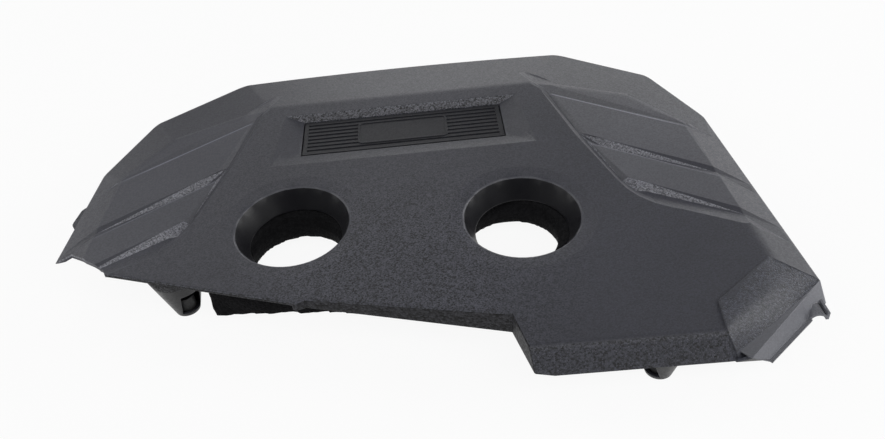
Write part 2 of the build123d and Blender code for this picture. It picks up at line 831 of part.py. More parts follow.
with BuildPart() as foam_pad:
    with BuildSketch(Plane.XY.offset(foam_foot)):
        with BuildLine():
            Polyline(
                (left_of_foam, foam_front_left),
                (jog_end[0], foam_front_middle),
                (notch_inner[0] - foam_margin, notch_inner[1] + foam_set_back),
                (notch_outer[0] + foam_margin, foam_front_right),
                (front_cup_side, foam_front_right),
                (front_cup_side, front_cup_back),
                (beside_rail("r3", 1)[0], front_cup_back),
                beside_rail("r3", 1),
                beside_rail("r2", 1),
                beside_rail("r1", 1),
                beside_rail("r1", -1),
                beside_rail("r2", -1),
                beside_rail("r3", -1),
                (left_of_foam, cup_front_left[1] + cup_mouth_radius),
                close=True,
            )
        make_face()
    extrude(amount=sky)
    split(bisect_by=panel_plane(wall + foam_clearance), keep=Keep.BOTTOM)
    add(recess_block(wall + foam_clearance), mode=Mode.SUBTRACT)
    for centre, shift in ((opening_left, foam_shift_left), (opening_right, foam_shift_right)):
        add(collar_form(centre, foam_clearance), mode=Mode.SUBTRACT)
        with BuildSketch(Plane(origin=on_panel(centre), x_dir=(1, 0, 0), z_dir=panel_normal)):
            with Locations(shift):
                Circle(foam_opening_radius)
        extrude(amount=-sky, mode=Mode.SUBTRACT)

grommets = {}
for name, centre, gate in cups:
    with BuildPart() as grommet:
        with BuildSketch(Plane(origin=(centre[0], centre[1], 0), x_dir=(1, 0, 0), z_dir=(0, -1, 0))):
            with BuildLine():
                Polyline(
                    (stud_radius, grommet_fit),
                    (grommet_neck, grommet_fit),
                    (grommet_neck, cup_floor),
                    (grommet_radius, cup_floor),
                    (grommet_radius, cup_floor + grommet_height),
                    (0, cup_floor + grommet_height),
                    (0, cup_floor + grommet_height - grommet_crown),
                    (stud_radius, cup_floor + grommet_height - grommet_crown),
                    close=True,
                )
            make_face()
        revolve(axis=Axis((centre[0], centre[1], 0), (0, 0, 1)))
    grommets["grommet_" + name] = grommet.part

# The pieces move together, so that the origin is under the middle of the cover on the plane it stands on
box = cover_shell.part.bounding_box()
home = Location((-box.center().X, -box.center().Y, -box.min.Z))
pieces = {"cover_shell": cover_shell.part, "badge_insert": badge_insert.part, "foam_pad": foam_pad.part}
pieces.update(grommets)
for name, piece in pieces.items():
    placed = piece.moved(home)
    placed.label = name
    export_step(placed, "parts/" + name + ".step")
    print(name, len(placed.solids()), "solid", round(placed.volume / 1000, 1), "cm3")
print("drawing origin now at", home.position)
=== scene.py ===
# %% [markdown]
# # An engine cover
# This lesson dresses a moulded engine cover for a studio picture. The real cover is one charcoal
# plastic moulding with a grained skin. A ribbed plate is let into it, a foam pad hangs under it, and
# four rubber sockets push on to ball studs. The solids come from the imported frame, in metres, and
# this script gives them their edges, finishes, light and camera.

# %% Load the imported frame
import math

import bmesh
import bpy
from mathutils import Matrix, Vector, noise


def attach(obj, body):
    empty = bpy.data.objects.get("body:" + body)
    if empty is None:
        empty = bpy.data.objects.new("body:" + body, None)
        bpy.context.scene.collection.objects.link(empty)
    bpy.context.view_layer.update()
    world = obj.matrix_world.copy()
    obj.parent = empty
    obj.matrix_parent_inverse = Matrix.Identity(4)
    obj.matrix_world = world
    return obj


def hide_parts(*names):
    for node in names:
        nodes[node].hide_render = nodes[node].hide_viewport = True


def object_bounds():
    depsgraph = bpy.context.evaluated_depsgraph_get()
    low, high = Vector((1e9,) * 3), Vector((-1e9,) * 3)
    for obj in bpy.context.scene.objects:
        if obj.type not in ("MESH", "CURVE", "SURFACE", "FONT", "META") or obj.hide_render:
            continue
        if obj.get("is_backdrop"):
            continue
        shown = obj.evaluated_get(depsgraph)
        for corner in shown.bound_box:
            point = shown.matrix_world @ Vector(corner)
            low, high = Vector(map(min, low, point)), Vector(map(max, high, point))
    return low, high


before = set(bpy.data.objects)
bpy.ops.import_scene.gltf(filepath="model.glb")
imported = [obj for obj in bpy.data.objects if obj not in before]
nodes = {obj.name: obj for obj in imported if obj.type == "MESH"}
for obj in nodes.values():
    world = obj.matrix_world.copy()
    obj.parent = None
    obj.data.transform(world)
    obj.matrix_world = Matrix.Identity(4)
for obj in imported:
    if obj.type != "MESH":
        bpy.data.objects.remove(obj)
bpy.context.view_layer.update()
for name in sorted(nodes):
    print(name, len(nodes[name].data.polygons), "triangles")

# %% [markdown]
# ## The camera
# The photograph was taken from the cut-away front edge, well above it, with the picture rolled a few
# degrees. The rims of both openings, the recess and the outline fixed the focal length, height and
# roll, so these numbers are measured and not chosen by eye.

# %% Camera
PHOTO_WIDTH = 885
FOCAL_PIXELS = 780.0
SENSOR_WIDTH = 36.0
CAMERA_TILT = math.radians(38.0)
CAMERA_ROLL = math.radians(5.7)
CAMERA_PLACE = Vector((0.02402, -0.5315, 0.4194))

ahead = Vector((0, math.cos(CAMERA_TILT), -math.sin(CAMERA_TILT)))
level_right = Vector((1, 0, 0))
level_up = level_right.cross(ahead)
right = level_right * math.cos(CAMERA_ROLL) - level_up * math.sin(CAMERA_ROLL)
up = level_right * math.sin(CAMERA_ROLL) + level_up * math.cos(CAMERA_ROLL)

camera_data = bpy.data.cameras.new("photo_camera")
camera_data.sensor_width = SENSOR_WIDTH
camera_data.lens = SENSOR_WIDTH * FOCAL_PIXELS / PHOTO_WIDTH
camera = bpy.data.objects.new("photo_camera", camera_data)
bpy.context.scene.collection.objects.link(camera)
camera_axes = Matrix((right, up, -ahead)).transposed()
camera.matrix_world = Matrix.Translation(CAMERA_PLACE) @ camera_axes.to_4x4()
bpy.context.scene.camera = camera
print("lens", round(camera_data.lens, 2), "mm")

# %% [markdown]
# ## The stage
# The cover lies on white paper, which is a plain floor. To the camera and in reflections the paper is
# nearly all white, and a share of its own shading is kept so that the soft shadow under the cover
# stays. The world behind it is white to the camera, but dim as a light and in reflections, because a
# white sky would veil the dark plastic.

# %% Helpers for node trees
def link(tree, output, target):
    tree.links.new(output, target)


def math_node(tree, operation, first, second=None):
    """A Math node. Each input is a number or another node's output."""
    node = tree.nodes.new("ShaderNodeMath")
    node.operation = operation
    for socket, value in zip(node.inputs, (first, second)):
        if value is None:
            continue
        if isinstance(value, (int, float)):
            socket.default_value = value
        else:
            link(tree, value, socket)
    return node.outputs[0]


def white_to(tree, kinds):
    """A value of 1 for camera rays and the given kinds of ray, and 0 for all others."""
    path = tree.nodes.new("ShaderNodeLightPath")
    seen = path.outputs["Is Camera Ray"]
    for kind in kinds:
        seen = math_node(tree, "MAXIMUM", seen, path.outputs[kind])
    return seen


# %% Floor
FLOOR_SIZE = 8.0
FLOOR_SHADE = 0.08
PAPER = (0.8, 0.8, 0.8, 1)
WHITE = (1, 1, 1, 1)
WHITE_STRENGTH = 1.0

floor_mesh = bpy.data.meshes.new("paper_floor")
floor_form = bmesh.new()
bmesh.ops.create_grid(floor_form, x_segments=1, y_segments=1, size=FLOOR_SIZE / 2)
floor_form.to_mesh(floor_mesh)
floor_form.free()
floor = bpy.data.objects.new("paper_floor", floor_mesh)
bpy.context.scene.collection.objects.link(floor)
floor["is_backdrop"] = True

paper = bpy.data.materials.new("white_paper")
paper.use_nodes = True
tree = paper.node_tree
tree.nodes.clear()
matt = tree.nodes.new("ShaderNodeBsdfDiffuse")
matt.inputs["Color"].default_value = PAPER
glow = tree.nodes.new("ShaderNodeEmission")
glow.inputs["Color"].default_value = WHITE
glow.inputs["Strength"].default_value = WHITE_STRENGTH
mix = tree.nodes.new("ShaderNodeMixShader")
out = tree.nodes.new("ShaderNodeOutputMaterial")
seen_white = white_to(tree, ["Is Transmission Ray", "Is Glossy Ray"])
link(tree, math_node(tree, "MULTIPLY", seen_white, 1 - FLOOR_SHADE), mix.inputs["Fac"])
link(tree, matt.outputs[0], mix.inputs[1])
link(tree, glow.outputs[0], mix.inputs[2])
link(tree, mix.outputs[0], out.inputs["Surface"])
floor_mesh.materials.append(paper)
print("floor", FLOOR_SIZE, "m wide")

# %% World
WORLD_LIGHT = 0.05

world = bpy.data.worlds.new("studio")
world.use_nodes = True
bpy.context.scene.world = world
tree = world.node_tree
tree.nodes.clear()
dim = tree.nodes.new("ShaderNodeBackground")
dim.inputs["Color"].default_value = WHITE
dim.inputs["Strength"].default_value = WORLD_LIGHT
bright = tree.nodes.new("ShaderNodeBackground")
bright.inputs["Color"].default_value = WHITE
bright.inputs["Strength"].default_value = WHITE_STRENGTH
mix = tree.nodes.new("ShaderNodeMixShader")
out = tree.nodes.new("ShaderNodeOutputWorld")
link(tree, white_to(tree, ["Is Transmission Ray"]), mix.inputs["Fac"])
link(tree, dim.outputs[0], mix.inputs[1])
link(tree, bright.outputs[0], mix.inputs[2])
link(tree, mix.outputs[0], out.inputs["Surface"])
bpy.context.scene.view_settings.view_transform = "Standard"
print("world light", WORLD_LIGHT)

# %% [markdown]
# ## The light
# Dark plastic shows its form mostly by what it reflects, so large soft boxes stand all round it. Those
# behind act as windows and draw the slopes and ridges, and those at the sides, in front and above fill
# the rest.

# %% Lamps
AIM = Vector((0.0, 0.0, 0.05))
# Each lamp has its place and its width and height in metres, and its watts.
LAMPS = {
    "window_low_behind": ((1.0, 2.6, 0.75), (3.6, 1.0), 20.5),
    "window_high_behind": ((-0.8, 1.9, 2.1), (2.4, 1.2), 13.0),
    "window_back_left": ((-2.2, 1.8, 1.0), (1.6, 1.2), 6.5),
    "window_back_right": ((2.2, 1.8, 1.0), (1.6, 1.2), 4.0),
    "right_side": ((2.4, 0.3, 0.8), (1.8, 1.0), 29.0),
    "left_side": ((-2.4, 0.3, 0.8), (1.8, 1.0), 14.0),
    "left_front": ((-1.8, -1.4, 1.5), (1.4, 1.2), 15.0),
    "front_ceiling": ((0.0, -1.2, 1.9), (2.0, 1.2), 11.0),
    "right_ceiling": ((1.3, -1.3, 1.8), (1.2, 1.0), 8.0),
    "right_front": ((1.8, -1.6, 1.2), (1.4, 1.2), 12.0),
}


def soft_lamp(name, place, size, watts):
    """A rectangular softbox at place that faces the cover."""
    lamp_data = bpy.data.lights.new(name, "AREA")
    lamp_data.shape = "RECTANGLE"
    lamp_data.size, lamp_data.size_y = size
    lamp_data.energy = watts
    lamp = bpy.data.objects.new(name, lamp_data)
    lamp.location = place
    lamp.rotation_euler = (AIM - Vector(place)).to_track_quat("-Z", "Y").to_euler()
    bpy.context.scene.collection.objects.link(lamp)


for name, (place, size, watts) in LAMPS.items():
    soft_lamp(name, place, size, watts)
print(len(LAMPS), "lamps")

# %% [markdown]
# ## Shared effects
# A mould for such a cover is etched, so its skin is covered with tiny rounded pebbles. The same grain
# comes back finer or coarser on other surfaces, so it is a node group with the pebble size as an
# input. Its flecks, partly the grain's own tone and partly painted glints, are strongest near the
# middle of the front edge, which a round mask gives. Every moulded edge is also a little round and
# catches the light, which a second group finds by comparing the rounded normal with the true one. Its
# mask also paints a pale line along each edge, partly wear and partly a painted highlight. A third
# group marks the crests of the louvres by their lines in plan, for a painted highlight along each.

# %% Helpers for node groups
def spread(tree, value, low, high, new_low, new_high):
    """Maps a value from one range to another, clamped."""
    node = tree.nodes.new("ShaderNodeMapRange")
    node.inputs["From Min"].default_value = low
    node.inputs["From Max"].default_value = high
    node.inputs["To Min"].default_value = new_low
    node.inputs["To Max"].default_value = new_high
    link(tree, value, node.inputs["Value"])
    return node.outputs["Result"]


def named_group(name, inputs, outputs):
    """An empty shader group with float inputs and their defaults, and float outputs."""
    group = bpy.data.node_groups.new(name, "ShaderNodeTree")
    for socket_name, value in inputs.items():
        socket = group.interface.new_socket(socket_name, in_out="INPUT", socket_type="NodeSocketFloat")
        socket.default_value = value
    for socket_name in outputs:
        group.interface.new_socket(socket_name, in_out="OUTPUT", socket_type="NodeSocketFloat")
    return group, group.nodes.new("NodeGroupInput"), group.nodes.new("NodeGroupOutput")


# %% Grain group
MILLIMETRE = 0.001
PEBBLES_PER_METRE = 1000.0
PEBBLE_SMOOTHNESS = 0.35
CLUMPS_PER_PEBBLE = 0.45
CLUMP_DETAIL = 3.0
CLUMP_HEIGHT = 0.5
STAINS_PER_METRE = 9.0
STAIN_DETAIL = 4.0
# Where the pebble flecks, partly painted glints, are strongest, and how far that mask reaches.
FLECK_MIDDLE = (-0.01, -0.115, 0.045)
FLECK_FULL = 0.05
FLECK_END = 0.14

grain, grain_in, grain_out = named_group(
    "moulded_grain", {"Pebbles per metre": PEBBLES_PER_METRE}, ["Height", "Fleck", "Tone", "Front"]
)
per_metre = grain_in.outputs["Pebbles per metre"]
on_piece = grain.nodes.new("ShaderNodeTexCoord").outputs["Object"]
pebbles = grain.nodes.new("ShaderNodeTexVoronoi")
pebbles.feature = "SMOOTH_F1"
pebbles.inputs["Smoothness"].default_value = PEBBLE_SMOOTHNESS
link(grain, on_piece, pebbles.inputs["Vector"])
link(grain, per_metre, pebbles.inputs["Scale"])
clumps = grain.nodes.new("ShaderNodeTexNoise")
clumps.inputs["Detail"].default_value = CLUMP_DETAIL
link(grain, on_piece, clumps.inputs["Vector"])
link(grain, math_node(grain, "MULTIPLY", per_metre, CLUMPS_PER_PEBBLE), clumps.inputs["Scale"])
swell = math_node(grain, "MULTIPLY", clumps.outputs["Fac"], CLUMP_HEIGHT)
dome = math_node(grain, "SUBTRACT", 1.0, pebbles.outputs["Distance"])
link(grain, math_node(grain, "ADD", dome, swell), grain_out.inputs["Height"])
flecks = grain.nodes.new("ShaderNodeSeparateColor")
link(grain, pebbles.outputs["Color"], flecks.inputs["Color"])
link(grain, flecks.outputs["Red"], grain_out.inputs["Fleck"])
stain = grain.nodes.new("ShaderNodeTexNoise")
stain.inputs["Scale"].default_value = STAINS_PER_METRE
stain.inputs["Detail"].default_value = STAIN_DETAIL
link(grain, on_piece, stain.inputs["Vector"])
link(grain, stain.outputs["Fac"], grain_out.inputs["Tone"])
away = grain.nodes.new("ShaderNodeVectorMath")
away.operation = "DISTANCE"
away.inputs[1].default_value = FLECK_MIDDLE
link(grain, on_piece, away.inputs[0])
fleck_front = spread(grain, away.outputs["Value"], FLECK_FULL, FLECK_END, 1.0, 0.0)
link(grain, fleck_front, grain_out.inputs["Front"])
print("grain group with", len(grain.nodes), "nodes")

# %% Edge group
EDGE_RADIUS = 1.2
EDGE_SAMPLES = 6
# The fall in the two normals' dot product at which an edge counts as fully turned.
FULL_TURN = 0.1

edges, edges_in, edges_out = named_group("rounded_edges", {"Radius": EDGE_RADIUS * MILLIMETRE}, ["Edge"])
edges.interface.new_socket("Normal", in_out="OUTPUT", socket_type="NodeSocketVector")
rounded = edges.nodes.new("ShaderNodeBevel")
rounded.samples = EDGE_SAMPLES
link(edges, edges_in.outputs["Radius"], rounded.inputs["Radius"])
true_normal = edges.nodes.new("ShaderNodeNewGeometry").outputs["Normal"]
agreement = edges.nodes.new("ShaderNodeVectorMath")
agreement.operation = "DOT_PRODUCT"
link(edges, rounded.outputs["Normal"], agreement.inputs[0])
link(edges, true_normal, agreement.inputs[1])
turned = math_node(edges, "SUBTRACT", 1.0, agreement.outputs["Value"])
link(edges, spread(edges, turned, 0.0, FULL_TURN, 0.0, 1.0), edges_out.inputs["Edge"])
link(edges, rounded.outputs["Normal"], edges_out.inputs["Normal"])
print("edge group with", len(edges.nodes), "nodes")

# %% Crest group
WING_MIDDLE = -0.00348
# Each crest's painted highlight has its two ends in plan on the right wing, and its strength. The left wing
# mirrors it.
CREST_HIGHLIGHTS = (((0.1346, 0.0922), (0.2362, 0.0261), 1.0), ((0.1546, 0.0162), (0.2433, -0.0415), 0.6))
CREST_HALF = 0.5 * MILLIMETRE
CREST_FADE = 1.3 * MILLIMETRE
CREST_BEFORE = 4.0 * MILLIMETRE
CREST_AFTER = 2.0 * MILLIMETRE
CREST_TAPER = 30.0 * MILLIMETRE
CREST_TIP = 0.3
CREST_PAST = 6.0 * MILLIMETRE

crest_highlights, _, crest_highlights_out = named_group("louvre_crest_highlights", {}, ["Crest"])
axes = crest_highlights.nodes.new("ShaderNodeSeparateXYZ")
link(crest_highlights, crest_highlights.nodes.new("ShaderNodeTexCoord").outputs["Object"], axes.inputs["Vector"])
mirrored = math_node(crest_highlights, "ABSOLUTE", math_node(crest_highlights, "SUBTRACT", axes.outputs["X"], WING_MIDDLE))
mirrored = math_node(crest_highlights, "ADD", mirrored, WING_MIDDLE)


def turned_part(operation, first, first_share, second, second_share):
    """The sum or difference of two measures in plan, each with its share of a direction."""
    return math_node(
        crest_highlights, operation,
        math_node(crest_highlights, "MULTIPLY", first, first_share),
        math_node(crest_highlights, "MULTIPLY", second, second_share),
    )


crest_highlight = None
for start, end, strength in CREST_HIGHLIGHTS:
    way = (Vector(end) - Vector(start)).normalized()
    length = (Vector(end) - Vector(start)).length
    from_x = math_node(crest_highlights, "SUBTRACT", mirrored, start[0])
    from_y = math_node(crest_highlights, "SUBTRACT", axes.outputs["Y"], start[1])
    along = turned_part("ADD", from_x, way.x, from_y, way.y)
    across = math_node(crest_highlights, "ABSOLUTE", turned_part("SUBTRACT", from_x, way.y, from_y, way.x))
    line = spread(crest_highlights, across, CREST_HALF, CREST_FADE, strength, 0.0)
    for low, high, new_low, new_high in (
        (-CREST_BEFORE, CREST_AFTER, 0.0, 1.0),
        (length - CREST_TAPER, length, 1.0, CREST_TIP),
        (length, length + CREST_PAST, 1.0, 0.0),
    ):
        line = math_node(crest_highlights, "MULTIPLY", line, spread(crest_highlights, along, low, high, new_low, new_high))
    crest_highlight = line if crest_highlight is None else math_node(crest_highlights, "MAXIMUM", crest_highlight, line)
link(crest_highlights, crest_highlight, crest_highlights_out.inputs["Crest"])
print(len(CREST_HIGHLIGHTS), "crests on each wing")

# %% [markdown]
# ## Finishes
# All the finishes are one recipe with other numbers: a dark colour that drifts a little and differs
# from pebble to pebble, partly as the grain's own tone and partly as painted glints, a roughness that
# follows these flecks, a bump for the grain on top of the rounded edges, and a paler line along the
# edges, partly wear and partly a painted highlight. Some finishes also paint a highlight on the crests.

# %% Finish recipe
TONE_RANGE = (0.3, 0.7)
GLOSS_SWING = 0.08


def leaning_normal(tree, normal, lean):
    """A normal with a fixed lean added, made one unit long again."""
    leaning = tree.nodes.new("ShaderNodeVectorMath")
    leaning.operation = "ADD"
    leaning.inputs[1].default_value = lean
    link(tree, normal, leaning.inputs[0])
    unit = tree.nodes.new("ShaderNodeVectorMath")
    unit.operation = "NORMALIZE"
    link(tree, leaning.outputs["Vector"], unit.inputs[0])
    return unit.outputs["Vector"]


def placed(tree, group):
    """A shared effect, placed in a material."""
    node = tree.nodes.new("ShaderNodeGroup")
    node.node_tree = group
    return node


def finish(name, colour, roughness, pebble, depth, fleck_and_glint, edge_radius=EDGE_RADIUS, edge_rub_and_highlight=0.25, drift=0.12,
           far=1.0, crest_highlight=0.0, specular=0.5, lean=None):
    """A finish with grain and pale edges. Pebble, depth and edge radius are in millimetres.

    Fleck and glint is how far the tone of one pebble differs from the next, partly the grain's own tone
    and partly painted glints, and far is the share of it away from the front edge. Drift is the slow
    change of tone, edge rub and highlight the paleness of the edges, partly wear and partly a painted
    highlight, and crest highlight the painted highlight along the crests of the louvres. Lean is added
    to the shading normal, for faces that bulge where the solid is flat.
    """
    material = bpy.data.materials.new(name)
    material.use_nodes = True
    tree = material.node_tree
    shader = tree.nodes["Principled BSDF"]
    shader.inputs["Specular IOR Level"].default_value = specular
    skin = placed(tree, grain)
    skin.inputs["Pebbles per metre"].default_value = PEBBLES_PER_METRE / pebble
    rim = placed(tree, edges)
    rim.inputs["Radius"].default_value = edge_radius * MILLIMETRE
    bump = tree.nodes.new("ShaderNodeBump")
    bump.inputs["Strength"].default_value = 1.0
    bump.inputs["Distance"].default_value = depth * MILLIMETRE
    link(tree, skin.outputs["Height"], bump.inputs["Height"])
    surface = rim.outputs["Normal"]
    if lean:
        surface = leaning_normal(tree, surface, lean)
    link(tree, surface, bump.inputs["Normal"])
    link(tree, bump.outputs["Normal"], shader.inputs["Normal"])
    shade = spread(tree, skin.outputs["Tone"], *TONE_RANGE, 1 - drift, 1 + drift)
    share = spread(tree, skin.outputs["Front"], 0.0, 1.0, far, 1.0)
    # Each pebble's tone differs, partly the grain's own tone and partly painted glints of its sparkle.
    speckle_and_glint = math_node(tree, "MULTIPLY", spread(tree, skin.outputs["Fleck"], 0.0, 1.0, -fleck_and_glint, fleck_and_glint), share)
    speckle_and_glint = math_node(tree, "ADD", speckle_and_glint, 1.0)
    # A pale line along the edges, partly wear and partly a painted highlight.
    edge_wear_and_highlight = math_node(tree, "MULTIPLY", rim.outputs["Edge"], edge_rub_and_highlight)
    brightness = math_node(tree, "ADD", math_node(tree, "MULTIPLY", shade, speckle_and_glint), edge_wear_and_highlight)
    # A painted highlight along the crests of the louvres.
    if crest_highlight:
        ridge_highlight = math_node(tree, "MULTIPLY", placed(tree, crest_highlights).outputs["Crest"], crest_highlight)
        brightness = math_node(tree, "ADD", brightness, ridge_highlight)
    tint = tree.nodes.new("ShaderNodeVectorMath")
    tint.operation = "SCALE"
    tint.inputs[0].default_value = colour
    link(tree, brightness, tint.inputs["Scale"])
    link(tree, tint.outputs["Vector"], shader.inputs["Base Color"])
    gloss = spread(tree, skin.outputs["Fleck"], 0.0, 1.0, roughness + GLOSS_SWING, roughness - GLOSS_SWING)
    link(tree, gloss, shader.inputs["Roughness"])
    return material


# %% Finishes of the cover
RAIL_LEAN = (0.0, 0.35, 0.6)

grained_skin = finish("grained_skin", (0.036, 0.037, 0.047), 0.5, 0.85, 0.04, fleck_and_glint=0.95, far=0.3)
fine_skin = finish("fine_skin", (0.04, 0.041, 0.051), 0.5, 1.0, 0.008, fleck_and_glint=0.15, crest_highlight=3.0)
# The wing skin is paler than the plastic, a painted sheen on the louvres.
wing_painted_sheen = finish(
    "wing_painted_sheen", (0.052, 0.053, 0.065), 0.48, 1.0, 0.01, fleck_and_glint=0.1, crest_highlight=2.2, lean=(0.0, 0.13, 0.0)
)
# The band skin is paler than the plastic too, a painted sheen.
band_painted_sheen = finish(
    "band_painted_sheen", (0.047, 0.048, 0.059), 0.48, 1.0, 0.01, fleck_and_glint=0.1, crest_highlight=2.2, lean=(0.0, 0.26, 0.0)
)
# The rail skin is paler than the plastic, painted light on the rails.
rail_painted_light = finish("rail_painted_light", (0.055, 0.056, 0.068), 0.48, 1.0, 0.01, fleck_and_glint=0.1, crest_highlight=1.8, lean=RAIL_LEAN)
# The tail walls are far paler than the plastic, painted light on these small walls.
tail_wall_painted_light = finish("tail_wall_painted_light", (0.15, 0.152, 0.172), 0.5, 1.0, 0.01, fleck_and_glint=0.1, lean=RAIL_LEAN)
# The rim bevel is paler than the plastic, a painted highlight round each opening.
rim_bevel_painted_highlight = finish("rim_bevel_painted_highlight", (0.055, 0.056, 0.068), 0.42, 1.0, 0.01, fleck_and_glint=0.1, edge_radius=0.5)
# The groove walls are far paler than the plastic, painted light on walls that face the front.
groove_wall_painted_light = finish("groove_wall_painted_light", (0.135, 0.137, 0.156), 0.42, 0.85, 0.2, fleck_and_glint=0.7)
coarse_skin = finish("coarse_skin", (0.031, 0.032, 0.041), 0.5, 1.0, 0.3, fleck_and_glint=0.95)
# The steep front walls are far darker than the plastic, painted shade.
painted_shade_wall = finish("painted_shade_wall", (0.014, 0.014, 0.017), 0.55, 1.5, 0.3, fleck_and_glint=0.95, specular=0.25)
# The recess walls are paler than the plastic, painted light on walls that face the front.
recess_wall_painted_light = finish("recess_wall_painted_light", (0.075, 0.076, 0.088), 0.4, 1.0, 0.4, fleck_and_glint=0.95)
pad_skin = finish("pad_skin", (0.04, 0.042, 0.054), 0.45, 0.95, 0.2, fleck_and_glint=0.6)
# The apron is far paler than the plastic, a painted sheen.
apron_painted_sheen = finish("apron_painted_sheen", (0.135, 0.138, 0.156), 0.36, 1.0, 0.02, fleck_and_glint=0.1)
# The ledge matches the apron's painted sheen.
apron_ledge_painted_sheen = finish(
    "apron_ledge_painted_sheen", (0.14, 0.143, 0.16), 0.36, 1.0, 0.02, fleck_and_glint=0.1, lean=(0.5, -0.7, -0.45)
)
# Inside the openings and cups and under the cover the colour is far darker than the plastic, painted shade,
# with a satin gloss.
satin_painted_shade = finish("satin_painted_shade", (0.007, 0.007, 0.009), 0.38, 1.0, 0.02, fleck_and_glint=0.15, specular=0.3)
cover_finishes = [
    grained_skin, fine_skin, wing_painted_sheen, band_painted_sheen, rail_painted_light, tail_wall_painted_light, groove_wall_painted_light, rim_bevel_painted_highlight,
    coarse_skin, painted_shade_wall, recess_wall_painted_light, pad_skin, apron_painted_sheen, apron_ledge_painted_sheen, satin_painted_shade,
]
print("finishes of the cover", [material.name for material in cover_finishes])

# %% Finishes of the smaller pieces
insert_plastic = finish(
    "insert_plastic", (0.016, 0.0165, 0.02), 0.42, 0.8, 0.02, fleck_and_glint=0.15, edge_radius=0.4, edge_rub_and_highlight=0.6,
    specular=0.3,
)
socket_rubber = finish(
    "socket_rubber", (0.016, 0.016, 0.017), 0.62, 0.8, 0.02, fleck_and_glint=0.1, edge_radius=0.4, edge_rub_and_highlight=0.1
)
open_foam = finish(
    "open_foam", (0.007, 0.007, 0.008), 0.95, 1.5, 0.5, fleck_and_glint=0.25, edge_rub_and_highlight=0.0, drift=0.3, specular=0.15
)
print("other finishes", [material.name for material in (insert_plastic, socket_rubber, open_foam)])

# %% [markdown]
# ## The rigid pieces
# The solids from CAD have the right shape, but each mesh is loose triangles, flat on their own. A merged
# copy can carry smooth shading: edges that turn little are blended, and strong creases stay. Weighted
# normals keep the broad faces flat where they meet a small round. Over the louvres and at the brim of
# the dish round each opening, even a slight fold has to show.

# %% Helpers for merged copies
CREASE = math.radians(30)
SHALLOW_CREASE = math.radians(3)
OPENINGS = ((-0.09298, -0.0481), (0.08502, -0.0631))
DISH_RADIUS = 57.0 * MILLIMETRE
DISH_REACH = 1.5 * MILLIMETRE
WELD = 0.02 * MILLIMETRE
FLAT_WEIGHT = 90
# The outline of the right wing in plan. The left wing mirrors it.
WING_PLAN = (
    (0.1100, 0.1510), (0.1180, 0.1140), (0.1240, 0.1020), (0.1415, 0.0335), (0.1635, -0.0330),
    (0.1770, -0.0580), (0.1990, -0.0745), (0.2465, -0.1010), (0.2750, -0.1160), (0.2680, 0.0200),
    (0.2400, 0.0300), (0.2025, 0.0790), (0.1500, 0.1060), (0.1165, 0.1510),
)


def merged_copy(node, name):
    """A new object with the node's surface in one connected mesh."""
    form = bmesh.new()
    form.from_mesh(nodes[node].data)
    bmesh.ops.remove_doubles(form, verts=form.verts, dist=WELD)
    mesh = bpy.data.meshes.new(name)
    form.to_mesh(mesh)
    form.free()
    piece = bpy.data.objects.new(name, mesh)
    bpy.context.scene.collection.objects.link(piece)
    return piece


def nearest(point, middles):
    """The distance in plan from a point to the nearest of some middles."""
    return min((point.xy - Vector(middle)).length for middle in middles)


def on_wing(point):
    """Whether a point is over a wing. Counts crossings of the wing's outline."""
    x = abs(point.x - WING_MIDDLE) + WING_MIDDLE
    inside = False
    for here, there in zip(WING_PLAN, WING_PLAN[1:] + WING_PLAN[:1]):
        if (here[1] > point.y) != (there[1] > point.y):
            share = (point.y - here[1]) / (there[1] - here[1])
            inside ^= x < here[0] + share * (there[0] - here[0])
    return inside


def crease_limit(point):
    """The turn above which an edge stays a crease."""
    if on_wing(point) or abs(nearest(point, OPENINGS) - DISH_RADIUS) < DISH_REACH:
        return SHALLOW_CREASE
    return CREASE


def smooth(piece):
    """Smooth shading that keeps creases and flat faces."""
    form = bmesh.new()
    form.from_mesh(piece.data)
    for facet in form.faces:
        facet.smooth = True
    for edge in form.edges:
        edge.smooth = edge.calc_face_angle(0.0) < crease_limit((edge.verts[0].co + edge.verts[1].co) / 2)
    form.to_mesh(piece.data)
    form.free()
    weighted = piece.modifiers.new("flat_faces_stay_flat", "WEIGHTED_NORMAL")
    weighted.keep_sharp = True
    weighted.weight = FLAT_WEIGHT


# %% Cover, plate and sockets
def dress(node, name, finishes):
    """Replaces a CAD node by its smooth merged copy."""
    piece = merged_copy(node, name)
    smooth(piece)
    for material in finishes:
        piece.data.materials.append(material)
    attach(piece, "root")
    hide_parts(node)
    print(name, len(piece.data.polygons), "facets")
    return piece


cover = dress("cover_shell", "moulded_cover", cover_finishes)
dress("badge_insert", "ribbed_plate", [insert_plastic])
for name in sorted(nodes):
    if name.startswith("grommet"):
        dress(name, name.replace("grommet", "socket"), [socket_rubber])

# %% [markdown]
# ## The finish of each region
# One moulding shows many finishes: strong grain on the panel and skirt, a quieter skin on the slopes
# and wings, satin walls inside the openings. Many are also lit or shaded copies of the one plastic:
# paler colours paint the sheen and light on the wings, rails, rim, groove and recess walls and apron,
# and darker ones paint the shade on steep front walls and inside the openings, cups and underside. A
# facet's finish follows from where it lies and which way it faces, so no facet is picked by hand.

